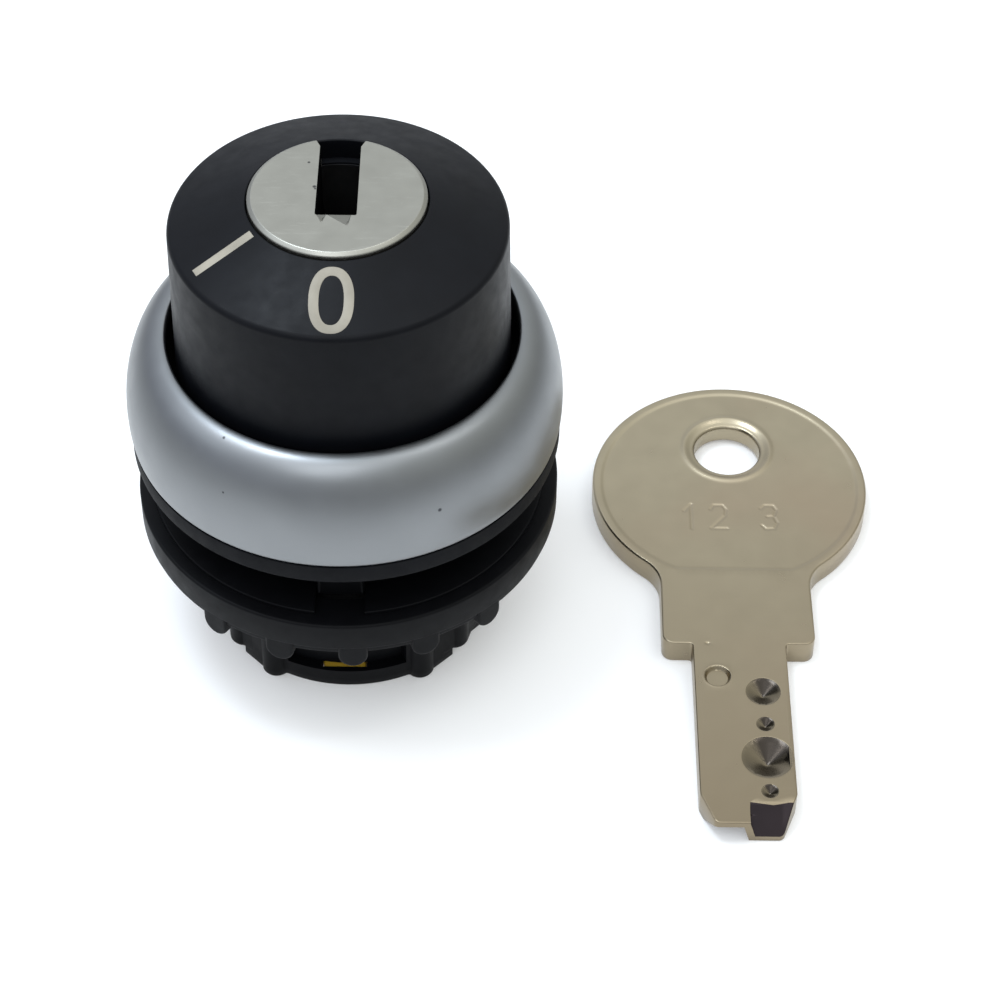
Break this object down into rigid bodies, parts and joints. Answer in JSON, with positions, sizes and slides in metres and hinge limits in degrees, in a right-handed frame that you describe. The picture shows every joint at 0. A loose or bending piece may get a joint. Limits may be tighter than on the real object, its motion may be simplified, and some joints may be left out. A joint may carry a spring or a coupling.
{
  "type": "selector key switch",
  "caption": "Key-operated rotary selector head with satin bezel, black marked cap, threaded fixing ring and a loose dimple key.",
  "frame": {"origin": "on the lock axis, in the plane where the gasket meets the panel's front", "axes": "+Z out of the panel's front along the lock axis; the zero mark and the anti-rotation nose face -Y; the key lies beside the head at +X"},
  "size_m": [0.0534, 0.0423, 0.0377],
  "materials": {
    "black_plastic": "moulded, fine satin",
    "cap_plastic": "moulded, fine matte spark texture",
    "grey_plastic": "moulded, satin",
    "white_plastic": "moulded, satin",
    "yellow_plastic": "moulded, satin",
    "mark_white": "moulded inlay, matte",
    "gasket_rubber": "matte",
    "satin_bezel": "fine satin blast",
    "lock_face_metal": "satin nickel plate, fine scratches",
    "die_cast_zinc": "die cast, dull",
    "nickel_silver": "coined and tumbled, warm nickel plate",
    "spring_steel": "drawn wire",
    "zinc_steel": "zinc plated",
    "brass_pins": "turned"
  },
  "bodies": {
    "head": {"main_body": "black_plastic", "guide_plate": "grey_plastic", "rear_screws": "zinc_steel", "coding_adapter": "yellow_plastic", "panel_gasket": "gasket_rubber", "bezel_ring": "satin_bezel", "head_cap": "cap_plastic", "mark_zero": "mark_white", "mark_one": "mark_white", "lock_shell": "die_cast_zinc", "shell_o_ring": "gasket_rubber", "wiper_seal": "gasket_rubber", "driver_pins": "brass_pins", "pin_springs": "spring_steel", "pin_cover": "die_cast_zinc", "detent_ball": "spring_steel", "detent_spring": "spring_steel", "detent_plug": "zinc_steel", "plunger_spring_left": "spring_steel", "plunger_spring_right": "spring_steel"},
    "barrel": {"lock_cylinder": "lock_face_metal", "key_pins": "brass_pins", "cylinder_clip": "spring_steel", "cam_rotor": "white_plastic", "cam_screw": "zinc_steel"},
    "left_plunger": {"plunger_left": "white_plastic"},
    "right_plunger": {"plunger_right": "white_plastic"},
    "washer": {"thrust_washer": "black_plastic"},
    "ring": {"fixing_ring": "black_plastic"},
    "loose_key": {"key": "nickel_silver"}
  },
  "joints": [
    {"name": "key_turn", "type": "hinge", "parent": "head", "child": "barrel", "pos_m": [0, 0, 0.021], "axis": [0, 0, -1], "range_deg": [0, 60]},
    {"name": "left_plunger_press", "type": "slide", "parent": "head", "child": "left_plunger", "axis": [0, 0, -1], "range_m": [0, 0.0025], "deforming": ["plunger_spring_left"]},
    {"name": "right_plunger_press", "type": "slide", "parent": "head", "child": "right_plunger", "axis": [0, 0, -1], "range_m": [0, 0.0025], "deforming": ["plunger_spring_right"]},
    {"name": "washer_slide", "type": "slide", "parent": "head", "child": "washer", "axis": [0, 0, 1], "range_m": [-0.003, 0.0029]},
    {"name": "ring_screw", "type": "hinge", "parent": "washer", "child": "ring", "pos_m": [0, 0, -0.0055], "axis": [0, 0, -1], "range_deg": [-720, 696]},
    {"name": "key_lift", "type": "slide", "parent": "head", "child": "loose_key", "axis": [0, 0, 1], "range_m": [0, 0.05]}
  ],
  "couplings": [
    {"joint": "left_plunger_press", "follows": "key_turn", "m_per_rad": 0.0023873},
    {"joint": "right_plunger_press", "follows": "key_turn", "m_per_rad": 0.0023873},
    {"joint": "washer_slide", "follows": "ring_screw", "m_per_rad": 0.00023873}
  ]
}
